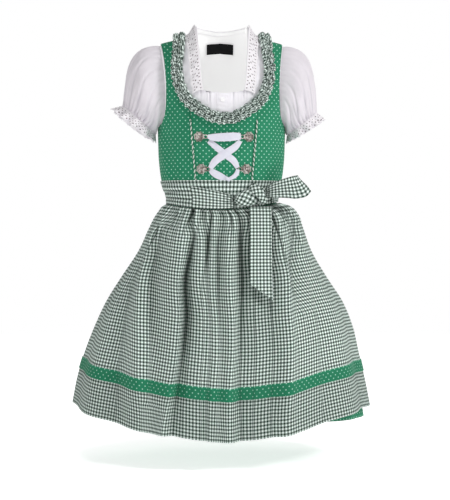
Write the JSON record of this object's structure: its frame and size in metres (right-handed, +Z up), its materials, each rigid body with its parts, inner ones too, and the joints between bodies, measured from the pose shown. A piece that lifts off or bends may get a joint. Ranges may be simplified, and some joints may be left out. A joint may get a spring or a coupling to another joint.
{
  "type": "child's dirndl dress with blouse and apron",
  "caption": "Worn-shape dirndl set for a child: dotted dress with laced bodice, white puff-sleeved blouse and checked apron tied in a bow, hollow as if worn.",
  "frame": {"origin": "midway between the wearer's two shoulders, at the height where the shoulder straps rest on them", "axes": "+Z up, -Y the way the wearer faces, +X the wearer's left"},
  "size_m": [0.5078, 0.3835, 0.6838],
  "materials": {
    "dotted_cotton": "printed cotton, matt",
    "gingham_cotton": "yarn-dyed cotton, matt",
    "blouse_batiste": "fine cotton, matt",
    "satin_ribbon": "satin",
    "antique_silver": "cast, darkened",
    "woven_label": "woven, satin"
  },
  "bodies": {
    "root": {"apron_panel": "gingham_cotton", "apron_trim": "dotted_cotton", "apron_waistband": "gingham_cotton", "blouse_back": "blouse_batiste", "blouse_button": "blouse_batiste", "blouse_front_left": "blouse_batiste", "blouse_front_right": "blouse_batiste", "blouse_placket": "blouse_batiste", "bodice_back_left": "dotted_cotton", "bodice_back_right": "dotted_cotton", "bodice_centre_front": "dotted_cotton", "bodice_side_front_left": "dotted_cotton", "bodice_side_front_right": "dotted_cotton", "bow_knot": "gingham_cotton", "bow_loop": "gingham_cotton", "bow_tail": "gingham_cotton", "hook_lower_left": "antique_silver", "hook_lower_right": "antique_silver", "hook_upper_left": "antique_silver", "hook_upper_right": "antique_silver", "neck_binding": "blouse_batiste", "neck_frill": "gingham_cotton", "neck_label": "woven_label", "neck_lace_left": "blouse_batiste", "neck_lace_right": "blouse_batiste", "piping_left": "blouse_batiste", "piping_right": "blouse_batiste", "ribbon_cross_over": "satin_ribbon", "ribbon_cross_under": "satin_ribbon", "ribbon_knot": "satin_ribbon", "ribbon_low_left": "satin_ribbon", "ribbon_low_right": "satin_ribbon", "ribbon_top": "satin_ribbon", "size_tab": "blouse_batiste", "skirt_back": "dotted_cotton", "skirt_front": "dotted_cotton", "sleeve_left": "blouse_batiste", "sleeve_right": "blouse_batiste", "sleeve_ruffle_left": "blouse_batiste", "sleeve_ruffle_right": "blouse_batiste", "tie_front": "gingham_cotton", "tie_wrap": "gingham_cotton"}
  },
  "joints": []
}
